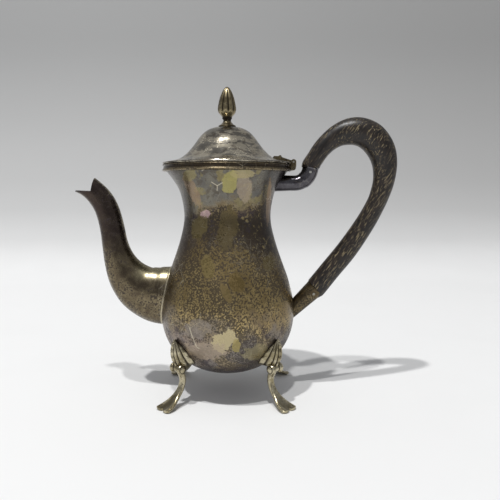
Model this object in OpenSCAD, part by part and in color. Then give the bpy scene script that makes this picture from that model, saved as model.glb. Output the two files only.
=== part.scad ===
// Footed coffee pot with a hinged domed lid, a swan-neck spout and a wooden loop handle.
// Millimetres, +Z up, +X toward the handle, the spout on -X, origin at table level under the middle.

/* [Pot body] */
// Greatest radius of the belly
belly_r = 51.2; // [50.8:0.1:51.6]
// Thickness of the silver in body, spout and lid
wall = 1.2; // [0.9:0.1:1.5]
// Radius of each hole in the strainer behind the spout
strainer_r = 1.8; // [1.2:0.1:2.0]

/* [Lid and hinge] */
// Free space between lid and rim, and round the turning knuckle
lid_gap = 0.3; // [0.25:0.05:0.4]
// Radius of the hinge pin
hinge_pin_r = 0.8; // [0.6:0.05:1.0]
// Running clearance of the lid's knuckle on the pin, on the radius
pin_clearance = 0.05; // [0.02:0.01:0.08]
// Number of grooves between the lobes of the finial
finial_lobes = 9; // [6:1:12]

/* [Handle] */
// Radius of the pins that hold the wooden grip
handle_pin_r = 1.0; // [0.8:0.1:1.3]
// Thickness of the grip across the pot, as a share of its depth
grip_flat = 0.84; // [0.78:0.02:0.9]

/* [Feet] */
// Turn of each foot away from the line through spout and handle, degrees
foot_turn = 43; // [41:1:47]
// Thickness of the toe
toe_t = 2.2; // [1.8:0.1:2.6]

/* [Part selection] */
// Sub-part to draw

/* [Hidden] */
$fn = 96;
silver = [0.62, 0.59, 0.50];
dark_silver = [0.36, 0.35, 0.34];
wood = [0.20, 0.15, 0.11];

// Catmull-Rom curve through stations P, n steps to a span.
function cr(a, b, c, d, t) = 0.5 * (2 * b + (c - a) * t + (2 * a - 5 * b + 4 * c - d) * t * t
  + (3 * b - a - 3 * c + d) * t * t * t);
function curve(P, n) = [
  for (i = [0 : len(P) - 2]) for (k = [0 : n - 1])
    cr(P[max(i - 1, 0)], P[i], P[i + 1], P[min(i + 2, len(P) - 1)], k / n),
  P[len(P) - 1]
];
// The frame's origin is the middle of the pot's whole length, this far from the axis of the body.
mid_x = 5.71;
module from_middle() {
  translate([-mid_x, 0, 0])
    children();
}
function unit(v) = v / norm(v);
function tangent(C, i) = unit([
  C[min(i + 1, len(C) - 1)][0] - C[max(i - 1, 0)][0],
  C[min(i + 1, len(C) - 1)][1] - C[max(i - 1, 0)][1]
]);
// Curve C moved sideways by d, to the left of its direction.
function shifted(C, d) = [
  for (i = [0 : len(C) - 1]) [max(0, C[i][0] - d * tangent(C, i)[1]), C[i][1] + d * tangent(C, i)[0]]
];
function reversed(C) = [for (i = [len(C) - 1 : -1 : 0]) C[i]];

// The belly below its widest line is a full, slightly squared bowl.
bowl_z = 66;
bowl_h = 48;
bowl = [
  for (a = [90 : -7.5 : 7.5])
    [a == 90 ? 0 : belly_r * pow(cos(a), 0.9), bowl_z - bowl_h * pow(sin(a), 0.9)]
];
lip_r = 45.4;
lip_z = 176.5;
side = curve([
  [belly_r, bowl_z], [belly_r - 0.9, 75], [belly_r - 2.5, 82], [46, 92], [42.5, 101.5], [39, 111.3],
  [35.9, 121.3], [33.6, 131], [32.9, 139.5], [34, 149], [36.5, 158], [40.4, 165], [lip_r, 171.6]
], 3);
body_out = concat(bowl, side);
body_in = [
  for (p = shifted(body_out, wall)) if (p[0] > 0.5 || p[1] < bowl_z - bowl_h + wall + 0.4) p
];

module body_solid(grow = 0) {
  rotate_extrude()
    polygon(concat([[0, bowl_z - bowl_h - grow]],
      [for (p = shifted(body_out, -grow)) if (p[0] > 0.5) p], [[lip_r + grow, lip_z], [0, lip_z]]));
}

module body_shell() {
  color(silver) from_middle()
    difference() {
      body_solid();
      rotate_extrude()
        polygon(concat([[0, bowl_z - bowl_h + wall]], [for (p = body_in) if (p[0] > 0.5) p],
          [[lip_r - wall, lip_z + 1], [0, lip_z + 1]]));
      for (row = [-2 : 2]) for (k = [-2 : 2])
        if (abs(row) + 2 * abs(k) < 5)
          translate([-60, 5.2 * (k + (abs(row) % 2) / 2), 76.5 + 6 * row])
            rotate([0, 90, 0])
              cylinder(r = strainer_r, h = 20, $fn = 32);
    }
}

// Round the mouth: a lower bead, a hollow band and a flat seat for the lid.
rim_r = 48.8;
rim_top = 177;
rim_profile = [
  [lip_r, 171.9], [47.9, 172.0], [48.5, 172.4], [rim_r, 173.0], [rim_r, 173.7], [48.4, 174.3],
  [48.0, 174.9], [48.0, 175.7], [48.5, 176.4], [48.5, rim_top], [lip_r, rim_top]
];
module rim_moulding() {
  color(silver) from_middle()
    rotate_extrude()
      polygon(rim_profile);
}

// Solid swept through rings of points that all have the same count.
module sweep(R) {
  m = len(R[0]);
  n = len(R);
  sides = [
    for (j = [0 : n - 2]) for (i = [0 : m - 1]) each [
      [j * m + i, j * m + (i + 1) % m, (j + 1) * m + (i + 1) % m],
      [j * m + i, (j + 1) * m + (i + 1) % m, (j + 1) * m + i]
    ]
  ];
  caps = [[for (i = [m - 1 : -1 : 0]) i], [for (i = [0 : m - 1]) (n - 1) * m + i]];
  polyhedron(points = [for (r = R) each r], faces = concat(sides, caps));
}

// Spout stations: x, z, half depth in the upright plane, half width across it.
spout = curve([
  [-38, 76.5, 22.6, 16], [-53, 77, 22, 15.2], [-62, 79.6, 20.3, 14], [-70, 84.2, 18.2, 12.8],
  [-77.9, 93, 15.1, 11.2], [-83.3, 104, 11.8, 9.8], [-86.5, 116, 9.8, 8.8], [-88.5, 129, 9.2, 8.2],
  [-91.5, 141.5, 9, 7.8], [-96.2, 151, 8.8, 7.4], [-103.4, 158.8, 8.2, 7], [-111.6, 164.3, 8.4, 6.8],
  [-121, 168, 8.6, 6.6]
], 2);
module spout_half(s) {
  n = 10;
  rings = [
    for (i = [0 : len(spout) - 1])
      let (c = spout[i], t = tangent(spout, i), u = [-t[1], t[0]])
        [for (w = [0, wall]) for (k = [0 : n])
          let (a = 180 * (w == 0 ? k : n - k) / n, d = (c[2] - w) * cos(a))
            [c[0] + u[0] * d, s * (c[3] - w) * sin(a), c[1] + u[1] * d]]
  ];
  color(silver) from_middle()
    difference() {
      sweep(s > 0 ? rings : [for (r = rings) reversed(r)]);
      body_solid();
      rotate([90, 0, 0])
        linear_extrude(height = 40, center = true)
          polygon([[-102.6, 157.2], [-101, 167], [-98, 185], [-135, 185], [-135, 150], [-117.2, 150],
            [-117.2, 157.2]]);
    }
}
module spout_near_half() { spout_half(-1); }
module spout_far_half() { spout_half(1); }

// Lid: a shallow flange that rises in a bell-shaped dome.
lid_z = rim_top + lid_gap;
flange_r = 48.6;
lid_out = concat([[flange_r, lid_z], [flange_r + 0.1, lid_z + 0.7], [flange_r - 0.4, lid_z + 1.3]], curve([
  [47.4, lid_z + 1.3], [44, 179.3], [40, 180.1], [36.2, 181.4], [33, 183.4], [29, 187], [25, 191.7],
  [20.8, 197.4], [16.4, 201.7], [11.4, 204.2], [6.2, 205], [0, 205.2]
], 3));
lid_in = concat([[42.2, lid_z], [38.5, lid_z + 1.6]], curve([
  [35.6, 180.2], [32.2, 182.2], [28.1, 185.9], [24.0, 190.7], [19.8, 196.4], [15.6, 200.5],
  [11.0, 202.9], [6.0, 203.7], [0, 203.8]
], 3));
pivot = [49.8, 0, 179];
knuckle_r = 2;
knuckle_w = 3;
hinge_w = 7;
stud_r = 1.5;

// Cylinder of radius r on the hinge axis between y0 and y1.
module on_hinge(r, y0, y1) {
  translate([pivot[0], y1, pivot[2]])
    rotate([90, 0, 0])
      cylinder(r = r, h = y1 - y0, $fn = 48);
}

module lid_dome() {
  color(silver) from_middle()
    difference() {
      rotate_extrude()
        polygon(concat(lid_out, reversed(lid_in)));
      translate([0, 0, 190])
        cylinder(r = stud_r, h = 30, $fn = 48);
      on_hinge(knuckle_r + lid_gap, -hinge_w - lid_gap, -knuckle_w);
      on_hinge(knuckle_r + lid_gap, knuckle_w, hinge_w + lid_gap);
      on_hinge(knuckle_r, -knuckle_w - 0.1, knuckle_w + 0.1);
    }
}

// Collar under the lid that drops into the mouth.
bezel_r = lip_r - wall - 0.9;
module lid_bezel() {
  color(silver) from_middle()
    rotate_extrude()
      polygon([[bezel_r - 0.9, 173.2], [bezel_r, 173], [bezel_r, lid_z], [bezel_r - 0.9, lid_z]]);
}

finial_z = 205.2;
finial_out = concat([[0, finial_z], [6.2, finial_z], [6.5, 205.7], [6.3, 206.4], [5.6, 206.9]], curve([
  [4.8, 207.6], [3.8, 209.2], [3.5, 211], [3.7, 212.3], [5, 213.9], [6.5, 215.8], [7, 217.6],
  [6.9, 219.6], [6.3, 222.8], [5.4, 226.6], [4.2, 229.8], [2.9, 232.4], [1.5, 234.2], [0, 235]
], 3));
module finial() {
  color(silver) from_middle()
    difference() {
      rotate_extrude()
        polygon(finial_out);
      for (i = [0 : finial_lobes - 1])
        rotate([0, 0, (i + 0.5) * 360 / finial_lobes])
          translate([-20.4, 0, 219])
            rotate([90, 0, 0])
              rotate([0, 0, -2])
                rotate_extrude(angle = 35)
                  translate([27.6, 0])
                    circle(r = 0.75, $fn = 24);
      translate([0, 0, finial_z - 1])
        cylinder(r = stud_r, h = 5, $fn = 48);
    }
}
module finial_stud() {
  color(dark_silver) from_middle()
    translate([0, 0, 199.6])
      cylinder(r = stud_r, h = finial_z + 4 - 199.6, $fn = 48);
}
module finial_nut() {
  color(dark_silver) from_middle()
    difference() {
      translate([0, 0, 201])
        cylinder(r = 3.4, h = 2.78, $fn = 6);
      translate([0, 0, 200])
        cylinder(r = stud_r, h = 5, $fn = 48);
    }
}

// Slab of the hinge plates: an outline in x and z, w to each side of the middle.
module plate(points, w) {
  rotate([90, 0, 0])
    linear_extrude(height = 2 * w, center = true)
      polygon(points);
}
module hinge_lid_leaf() {
  color(dark_silver) from_middle()
    difference() {
      union() {
        plate([[34.6, 178], [34.6, 182.6], [35.2, 183.5], [38.8, 183.5], [39.5, 184.2], [40.6, 184],
          [41.3, 182.7], [46.6, 180.9], [48.4, 180.4], [48.4, 178.4]], knuckle_w);
        on_hinge(knuckle_r, -knuckle_w, knuckle_w);
      }
      rotate_extrude()
        polygon(concat([[0, lid_z - 3], [flange_r, lid_z - 3]], lid_out));
      on_hinge(hinge_pin_r + pin_clearance, -10, 10);
    }
}
module hinge_body_leaf() {
  color(dark_silver) from_middle()
    difference() {
      union() {
        plate([[46, 172.8], [50.4, 172.8], [51.3, 173.6], [51.8, 176], [51.8, 179], [49.8, 179],
          [49.8, 177.5], [46, 176.9]], hinge_w);
        on_hinge(knuckle_r, -hinge_w, hinge_w);
      }
      rotate_extrude()
        polygon(concat([[0, 171]], rim_profile, [[0, rim_top]]));
      on_hinge(knuckle_r + lid_gap, -knuckle_w - lid_gap, knuckle_w + lid_gap);
      translate([40, -10, rim_top - 0.1])
        cube([7.6, 20, 5]);
      on_hinge(hinge_pin_r, -10, 10);
    }
}
module hinge_pin() {
  color(dark_silver) from_middle()
    on_hinge(hinge_pin_r, -hinge_w - 0.4, hinge_w + 0.4);
}

// Upper socket: an arm out of the neck that bends up to meet the grip.
arm_r = 6.2;
root_r = 5.9;
mouth_r = 6.4;
arm_x = 51;
arm_z = 163.2;
arm_bend = 12;
arm_angle = 78;
arm_straight = 2.6;
arm_end = [
  arm_x + arm_bend * sin(arm_angle) + arm_straight * cos(arm_angle),
  arm_z + arm_bend * (1 - cos(arm_angle)) + arm_straight * sin(arm_angle)
];
tenon_r = 3.6;
upper_tenon = 8;
// Everything inside stands along +Z from the upper socket's mouth.
module at_upper() {
  translate([arm_end[0], 0, arm_end[1]])
    rotate([0, 90 - arm_angle, 0])
      children();
}
module upper_socket() {
  color(dark_silver) from_middle()
    difference() {
      union() {
        translate([30, 0, arm_z])
          rotate([0, 90, 0])
            cylinder(r = root_r, h = arm_x - 30);
        translate([arm_x, 0, arm_z + arm_bend])
          rotate([90, 0, 0])
            rotate([0, 0, -90])
              rotate_extrude(angle = arm_angle)
                translate([arm_bend, 0])
                  circle(r = arm_r);
        at_upper()
          translate([0, 0, -arm_straight])
            cylinder(r = mouth_r, h = arm_straight);
      }
      body_solid();
      at_upper()
        translate([0, 0, -upper_tenon])
          cylinder(r = tenon_r, h = upper_tenon + 1, $fn = 48);
      at_upper()
        translate([0, 10, -3.9])
          rotate([90, 0, 0])
            cylinder(r = handle_pin_r, h = 20, $fn = 32);
    }
}

// Lower socket: a straight tube that widens from the belly to the grip.
low_end = [67.9, 82.6];
low_angle = 44;
low_r = 7.5;
low_tenon_r = 5;
low_tenon = 10;
module at_lower() {
  translate([low_end[0], 0, low_end[1]])
    rotate([0, 90 - low_angle, 0])
      children();
}
module lower_socket() {
  color(dark_silver) from_middle()
    difference() {
      at_lower()
        translate([0, 0, -34])
          cylinder(r1 = 5, r2 = low_r, h = 34);
      body_solid();
      at_lower()
        translate([0, 0, -low_tenon])
          cylinder(r = low_tenon_r, h = low_tenon + 1, $fn = 48);
      at_lower()
        translate([1.4, 10, -4])
          rotate([90, 0, 0])
            cylinder(r = handle_pin_r, h = 20, $fn = 32);
    }
}

// Grip stations: x, z, half depth in the upright plane.
// It starts and ends inside the sockets' mouths, where it is cut square to meet their rims.
grip_lap = 1.5;
grip = curve([
  [arm_end[0] - grip_lap * cos(arm_angle), arm_end[1] - grip_lap * sin(arm_angle), 6.9],
  [arm_end[0] + 2 * cos(arm_angle), arm_end[1] + 2 * sin(arm_angle), 6.8],
  [66.8, 182.2, 6.6], [71.4, 188.8, 6.9], [76.8, 194.3, 7.4], [83.3, 198.8, 8.4], [90.4, 201.4, 9.7],
  [97, 202.1, 10.5], [103.2, 200.8, 10.9], [108.9, 197.6, 11.2], [113.6, 192.6, 11.0],
  [117.2, 186.3, 10.5], [119.2, 179, 9.6], [119.6, 172, 8.8], [118.9, 164.5, 8.1], [117, 157, 7.6],
  [113.4, 147.5, 7.2], [105.5, 132.7, 7.5], [92.3, 112.8, 8.0], [79.5, 96.8, 8.0],
  [low_end[0] + 2 * cos(low_angle), low_end[1] + 2 * sin(low_angle), 8.1],
  [low_end[0] - grip_lap * cos(low_angle), low_end[1] - grip_lap * sin(low_angle), 8.1]
], 2);
module handle_grip() {
  n = 20;
  rings = [
    for (i = [0 : len(grip) - 1])
      let (c = grip[i], t = tangent(grip, i), u = [-t[1], t[0]])
        [for (k = [0 : n - 1])
          let (a = 360 * (k + 0.5) / n)
            [c[0] + u[0] * c[2] * cos(a), grip_w(c[2]) * sin(a), c[1] + u[1] * c[2] * cos(a)]]
  ];
  color(wood) from_middle()
    difference() {
      union() {
        difference() {
          sweep(rings);
          at_upper()
            translate([0, 0, -10])
              cylinder(r = 14, h = 10);
          at_lower()
            translate([0, 0, -10])
              cylinder(r = 14, h = 10);
        }
        at_upper()
          translate([0, 0, -upper_tenon])
            cylinder(r = tenon_r, h = upper_tenon + 2, $fn = 48);
        at_lower()
          translate([0, 0, -low_tenon])
            cylinder(r = low_tenon_r, h = low_tenon + 2, $fn = 48);
      }
      at_upper()
        translate([0, 10, -3.9])
          rotate([90, 0, 0])
            cylinder(r = handle_pin_r, h = 20, $fn = 32);
      at_lower()
        translate([1.4, 10, -4])
          rotate([90, 0, 0])
            cylinder(r = handle_pin_r, h = 20, $fn = 32);
    }
}
// Half width of the grip: near the sockets it stays round enough to cover their mouths.
function grip_w(a) = max(a * grip_flat, 6.6);

// Pin through a socket, with its slightly domed ends just proud of the metal.
module cross_pin(half) {
  rotate([90, 0, 0])
    cylinder(r = handle_pin_r, h = 2 * half, center = true, $fn = 32);
}
module upper_handle_pin() {
  color(silver) from_middle()
    at_upper()
      translate([0, 0, -3.9])
        cross_pin(arm_r + 0.4);
}
module lower_handle_pin() {
  color(silver) from_middle()
    at_lower()
      translate([1.4, 0, -4])
        cross_pin(low_r + 0.1);
}

// Foot, drawn with its toe along +X: leaf and knee on the belly, rolled scroll, thin leg, flat toe.
knee_x = 37;
knee = [
  [0, 27.2], [8, 26.8], [10.4, 28.2], [11.8, 31], [13.6, 36], [14.2, 41], [13.7, 46], [12.6, 50.5],
  [0, 52]
];
leaf = [
  [0, 51], [2.6, 49.2], [5, 45.8], [6.8, 41.6], [7.8, 37], [7.7, 33], [6.2, 29.6], [3.4, 27.4],
  [0, 26.6]
];
leg_top = curve([
  [47.5, 29], [46.6, 24], [46.0, 19.5], [47.6, 14.6], [51.4, 9.6], [56, 5.6], [60, 3.1], [64.4, toe_t]
], 3);
leg_low = curve([
  [43, 29], [42.3, 24], [41.9, 19], [43.2, 13.2], [46.8, 7.6], [51, 3.4], [55, 0.8], [57, 0]
], 3);
sole = curve([
  [40, 2.2], [44, 2.2], [48, 2.6], [52, 4], [56, 5.8], [60, 6.9], [62.6, 6.6], [64.2, 4.8],
  [64.4, 2.6], [63, 0]
], 3);
module foot() {
  difference() {
    union() {
      intersection() {
        translate([knee_x, 0, 0])
          rotate_extrude()
            polygon(knee);
        translate([knee_x - 6, 0, 0])
          rotate([90, 0, 90])
            linear_extrude(height = 30)
              polygon(concat(leaf, [for (p = reversed(leaf)) if (p[0] > 0) [-p[0], p[1]]]));
      }
      for (k = [0 : 4])
        translate([knee_x + 12.9 + 0.5 * sin(45 * k), 0, 47.6 - 3.6 * k])
          sphere(r = 1.3 + 0.12 * k, $fn = 24);
      translate([47.6, 4.4, 29])
        rotate([90, 0, 0])
          cylinder(r = 2.9, h = 8.8, $fn = 48);
      for (s = [-1, 1])
        translate([47.8, 3.9 * s, 29])
          sphere(r = 3.2, $fn = 32);
      intersection() {
        rotate([90, 0, 0])
          linear_extrude(height = 20, center = true)
            polygon(concat(leg_top, [[64.4, 0.8], [63.6, 0]], reversed(leg_low)));
        translate([0, 0, -1])
          linear_extrude(height = 32)
            polygon(concat(sole, [for (p = reversed(sole)) if (p[1] > 0) [p[0], -p[1]]]));
      }
    }
    body_solid();
  }
}
module foot_at(turn) {
  color(silver) from_middle()
    rotate([0, 0, turn])
      foot();
}
module foot_front_left() { foot_at(180 + foot_turn); }
module foot_front_right() { foot_at(-foot_turn); }
module foot_rear_left() { foot_at(180 - foot_turn); }
module foot_rear_right() { foot_at(foot_turn); }

body_shell();
rim_moulding();
spout_near_half();
spout_far_half();
lid_dome();
lid_bezel();
finial();
finial_stud();
finial_nut();
hinge_lid_leaf();
hinge_body_leaf();
hinge_pin();
upper_socket();
lower_socket();
handle_grip();
upper_handle_pin();
lower_handle_pin();
foot_front_left();
foot_front_right();
foot_rear_left();
foot_rear_right();
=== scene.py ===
# %% [markdown]
# # A silver coffee pot
# The pot is packed already as a fixed frame of separate solids with a hinged lid. This script dresses that
# frame: it makes each visible wall again as a fine surface worked out with numpy, gives every piece a tarnished
# silver or dark wood finish, and sets a floor, two lamps and a camera. Lengths are typed in millimetres, because
# that is how the pot is dimensioned, and turned into metres in one place.

# %% Load the frame
import math

import bmesh
import bpy
import numpy as np
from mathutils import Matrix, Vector


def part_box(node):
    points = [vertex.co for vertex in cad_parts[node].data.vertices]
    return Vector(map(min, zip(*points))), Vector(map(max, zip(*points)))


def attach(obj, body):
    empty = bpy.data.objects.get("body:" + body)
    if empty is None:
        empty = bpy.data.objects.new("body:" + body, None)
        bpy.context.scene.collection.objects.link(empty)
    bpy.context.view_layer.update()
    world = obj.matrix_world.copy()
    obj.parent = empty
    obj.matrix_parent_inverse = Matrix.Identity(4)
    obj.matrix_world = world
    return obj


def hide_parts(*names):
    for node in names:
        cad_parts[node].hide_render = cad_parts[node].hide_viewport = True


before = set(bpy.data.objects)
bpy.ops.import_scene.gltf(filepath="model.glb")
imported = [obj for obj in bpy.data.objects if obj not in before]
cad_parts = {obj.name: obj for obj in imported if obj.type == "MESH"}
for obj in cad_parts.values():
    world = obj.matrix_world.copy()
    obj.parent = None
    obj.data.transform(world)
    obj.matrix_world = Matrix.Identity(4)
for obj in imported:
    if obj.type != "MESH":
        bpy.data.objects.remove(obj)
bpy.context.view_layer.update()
MM = 0.001
rim_lo, rim_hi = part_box("rim_moulding")
AXIS_X = (rim_lo.x + rim_hi.x) / 2 / MM  # the pot's axis stands here, in mm
print("frame:", len(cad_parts), "nodes, axis at x =", round(AXIS_X, 2), "mm")

# %% [markdown]
# ## Curves and meshes
# Every outline is a smooth curve through a few stations. A Catmull-Rom curve passes through each station and
# needs no handles, so a station is simply a point that was measured or designed. A surface is a grid of points:
# rows along the piece, columns round it. Sharing one mesh builder keeps poles closed and normals outward.

# %% A curve through stations
def curve(stations, steps):
    """Catmull-Rom: between stations b and c, with neighbours a and d, the point at t is half of
    2b + (c-a)t + (2a-5b+4c-d)t^2 + (3b-a-3c+d)t^3. End stations stand in for their missing neighbours."""
    p = np.asarray(stations, float)
    p = np.vstack([p[:1], p, p[-1:]])
    t = np.linspace(0, 1, steps, endpoint=False)[None, :, None]
    a, b, c, d = (p[i : len(p) - 3 + i, None, :] for i in range(4))
    spans = (2 * b + (c - a) * t + (2 * a - 5 * b + 4 * c - d) * t**2 + (3 * b - a - 3 * c + d) * t**3) / 2
    return np.vstack([spans.reshape(-1, p.shape[1]), p[-1:]])


print("a curve through 3 stations, 8 steps apart:", len(curve([(0, 0), (1, 1), (2, 0)], 8)), "points")


def arc(cx, cz, r, start, end, steps=8):
    """Points at angle a from start to end, in degrees: (cx + r cos a, cz + r sin a)."""
    a = np.radians(np.linspace(start, end, steps))
    return np.stack([cx + r * np.cos(a), cz + r * np.sin(a)], 1)


# %% A mesh from grids of points
MERGE_M, TINY_M, SHARP = 2e-6, 1e-7, 35.0  # points closer than MERGE_M are one; edges over SHARP degrees are creases


def shaded(mesh, sharp=SHARP):
    """Smooth shading, with creases at edges that turn by more than sharp degrees."""
    mesh.polygons.foreach_set("use_smooth", np.ones(len(mesh.polygons), bool))
    mesh.set_sharp_from_angle(angle=math.radians(sharp))


def piece(name, sheets, body, replaces, sharp=SHARP, hollow=None):
    """One object from grids (rows, columns, 3) in mm. Each grid closes on itself round its columns. Coincident
    points merge, so a row of equal points becomes a pole, and normals are turned to the outside. The hollow grids
    hold 0 on high places, 1 in recesses, where tarnish gathers, and -1 on bright solder; a finish reads them by that
    name."""
    points, faces, start = [], [], 0
    for grid in sheets:
        rows, cols = grid.shape[:2]
        i, j = np.meshgrid(np.arange(rows - 1), np.arange(cols), indexing="ij")
        k = (j + 1) % cols
        faces.append((np.stack([i * cols + j, i * cols + k, (i + 1) * cols + k, (i + 1) * cols + j], -1)
                      .reshape(-1, 4) + start))
        points.append(grid.reshape(-1, 3) * MM)
        start += rows * cols
    mesh = bpy.data.meshes.new(name)
    mesh.from_pydata(np.vstack(points), [], np.vstack(faces))
    if hollow is not None:
        layer = mesh.attributes.new("hollow", "FLOAT", "POINT")
        layer.data.foreach_set("value", np.concatenate([h.ravel() for h in hollow]).astype(np.float32))
    bm = bmesh.new()
    bm.from_mesh(mesh)
    bmesh.ops.remove_doubles(bm, verts=bm.verts, dist=MERGE_M)
    bmesh.ops.dissolve_degenerate(bm, edges=bm.edges, dist=TINY_M)
    bmesh.ops.recalc_face_normals(bm, faces=bm.faces)
    bm.to_mesh(mesh)
    bm.free()
    shaded(mesh, sharp)
    thing = bpy.data.objects.new(name, mesh)
    bpy.context.scene.collection.objects.link(thing)
    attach(thing, body)
    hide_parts(*replaces)
    print(name, len(mesh.vertices), "vertices,", len(mesh.polygons), "faces")
    return thing


def lathe(profile, columns=224):
    """A profile of (radius, height) turned about the pot's axis: x = axis + r cos a, y = r sin a, z = height."""
    r, z = np.asarray(profile, float).T
    a = np.linspace(0, 2 * np.pi, columns, endpoint=False)
    x, y = AXIS_X + np.outer(r, np.cos(a)), np.outer(r, np.sin(a))
    return np.stack([x, y, np.outer(z, np.ones(columns))], -1)


def sideways(outline, d):
    """The outline moved by d to the left of its direction, held to radii of zero or more."""
    t = np.gradient(outline, axis=0)
    t /= np.linalg.norm(t, axis=1)[:, None]
    moved = outline + d * np.stack([-t[:, 1], t[:, 0]], 1)
    moved[:, 0] = np.maximum(moved[:, 0], 0)
    return moved


# %% [markdown]
# ## The body
# A silversmith spins the pear-shaped body from one disc over a wooden former, so it is exactly round and about a
# millimetre thick. Turning a profile about the axis is the same operation. The outline runs up the outside, over
# the lip and down the inside, so the wall is real when the lid is open.

# %% Body
BELLY_R, BOWL_Z, BOWL_H, WALL = 51.2, 66.0, 48.0, 1.2
LIP_R, LIP_Z = 45.4, 176.5
FULLNESS = 0.9  # the bowl is |cos|^FULLNESS by |sin|^FULLNESS, slightly fuller than an ellipse
bowl_angle = np.radians(np.linspace(90, 2.5, 50))
bowl = np.stack([BELLY_R * np.cos(bowl_angle) ** FULLNESS, BOWL_Z - BOWL_H * np.sin(bowl_angle) ** FULLNESS], 1)
bowl[0, 0] = 0
side = curve([(BELLY_R, BOWL_Z), (50.3, 75), (48.7, 82), (46, 92), (42.5, 101.5), (39, 111.3), (35.9, 121.3),
              (33.6, 131), (32.9, 139.5), (34, 149), (36.5, 158), (40.4, 165), (LIP_R, 171.6)], 8)
body_out = np.vstack([bowl, side])


def body_radius(z):
    """Outer radius of the body at a height: straight lines between the outline's points."""
    return np.interp(z, body_out[:, 1], body_out[:, 0])


inside = sideways(body_out, WALL)[1:]
inside[0] = (0, inside[0, 1])
BREAK = 0.3  # the small flat on each edge of the lip
lip = [(LIP_R, LIP_Z - BREAK), (LIP_R - BREAK, LIP_Z), (LIP_R - WALL + BREAK, LIP_Z), (LIP_R - WALL, LIP_Z - BREAK)]
body = piece("pot_body", [lathe(np.vstack([body_out, lip, inside[::-1]]))], "pot",
             ["body_shell"])

# %% [markdown]
# ## The strainer
# Behind the spout the wall is not cut away but pierced, to hold back the grounds. Real holes are drilled through
# both faces of the wall at once, so level rods cut from the mesh do the same. They show when the lid is open.

# %% Strainer holes
HOLE_R, HOLE_STEP_Y, HOLE_STEP_Z, HOLE_Z = 1.8, 5.2, 6.0, 76.5
HOLE_NEAR, HOLE_FAR, HOLE_SIDES = -60.0, -40.0, 32
centres = [(HOLE_STEP_Y * (k + abs(row) % 2 / 2), HOLE_Z + HOLE_STEP_Z * row)
           for row in range(-2, 3) for k in range(-2, 3) if abs(row) + 2 * abs(k) < 5]


def pierce(thing, centres):
    """Cuts a level rod of radius HOLE_R through the wall at each (y, z)."""
    a = np.linspace(0, 2 * np.pi, HOLE_SIDES, endpoint=False)
    i = np.arange(HOLE_SIDES)
    j = (i + 1) % HOLE_SIDES
    points, faces = [], []
    for number, (y, z) in enumerate(centres):
        start = 2 * HOLE_SIDES * number
        for x in (HOLE_NEAR, HOLE_FAR):
            ring = np.stack([AXIS_X + x + 0 * a, y + HOLE_R * np.cos(a), z + HOLE_R * np.sin(a)], 1)
            points.append(ring * MM)
        faces += (np.stack([i, j, j + HOLE_SIDES, i + HOLE_SIDES], 1) + start).tolist()
        faces += [(i[::-1] + start).tolist(), (i + HOLE_SIDES + start).tolist()]
    rods = bpy.data.meshes.new("strainer_rods")
    rods.from_pydata(np.vstack(points), [], faces)
    bm = bmesh.new()
    bm.from_mesh(rods)
    bmesh.ops.recalc_face_normals(bm, faces=bm.faces)
    bm.to_mesh(rods)
    bm.free()
    drill = bpy.data.objects.new("strainer_rods", rods)
    bpy.context.scene.collection.objects.link(drill)
    cut = thing.modifiers.new("strainer", "BOOLEAN")
    cut.operation, cut.solver, cut.object = "DIFFERENCE", "EXACT", drill
    bpy.context.view_layer.update()
    made = bpy.data.meshes.new_from_object(thing.evaluated_get(bpy.context.evaluated_depsgraph_get()))
    thing.modifiers.remove(cut)
    thing.data = made
    bpy.data.objects.remove(drill)
    shaded(made)
    print(thing.name, "has", len(centres), "holes,", len(made.polygons), "faces")


pierce(body, centres)

# %% [markdown]
# ## The moulding round the mouth
# A drawn strip of silver is bent to a ring and soldered round the lip: a bead below, a hollow band that stays
# dark, and a flat seat. Small round beads catch a thin line of light each, which a square edge does not.

# %% Rim moulding
rim_profile = np.vstack([[(LIP_R, 171.9), (47.4, 171.9)], arc(47.9, 172.85, 0.95, -90, 70), [(48.05, 174.4)],
                         arc(48.6, 175.2, 0.75, 230, 130), arc(48.2, 176.45, 0.5, -60, 90),
                         [(47.4, 177), (LIP_R, 177), (LIP_R, 171.9)]])
rim = piece("rim", [lathe(rim_profile)], "pot", ["rim_moulding"])

# %% [markdown]
# ## The lid
# The lid is spun too: a shallow flange, a fine groove, and a bell that swells and closes to a flat crown for the
# finial. Its inside follows at one wall's distance, because the lid opens.

# %% Lid
SEAT_Z = 177.3
bell = curve([(46.5, 178.85), (44, 179.3), (40, 180.1), (36.2, 181.4), (33, 183.4), (29, 187), (25, 191.7),
              (20.8, 197.4), (16.4, 201.7), (11.4, 204.2), (6.2, 205), (0, 205.2)], 8)
bell_in = curve([(42.2, SEAT_Z), (38.5, SEAT_Z + 1.6), (35.6, 180.2), (32.2, 182.2), (28.1, 185.9), (24, 190.7),
                 (19.8, 196.4), (15.6, 200.5), (11, 202.9), (6, 203.7), (0, 203.8)], 6)
flange = np.vstack([[(47.8, SEAT_Z)], arc(48.05, 177.95, 0.65, -80, 95),
                    [(47.6, 178.55), (47.2, 178.2), (46.9, 178.25)]])
lid = piece("lid", [lathe(np.vstack([bell_in[::-1], flange, bell]))], "lid", ["lid_dome"])

# %% [markdown]
# ## The finial
# A cast bud on a flared ring. The bud is a lathe turning whose radius also waves round the axis: the absolute
# value of a sine gives round lobes with sharp valleys between them, which fade toward the waist and the tip.

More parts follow.
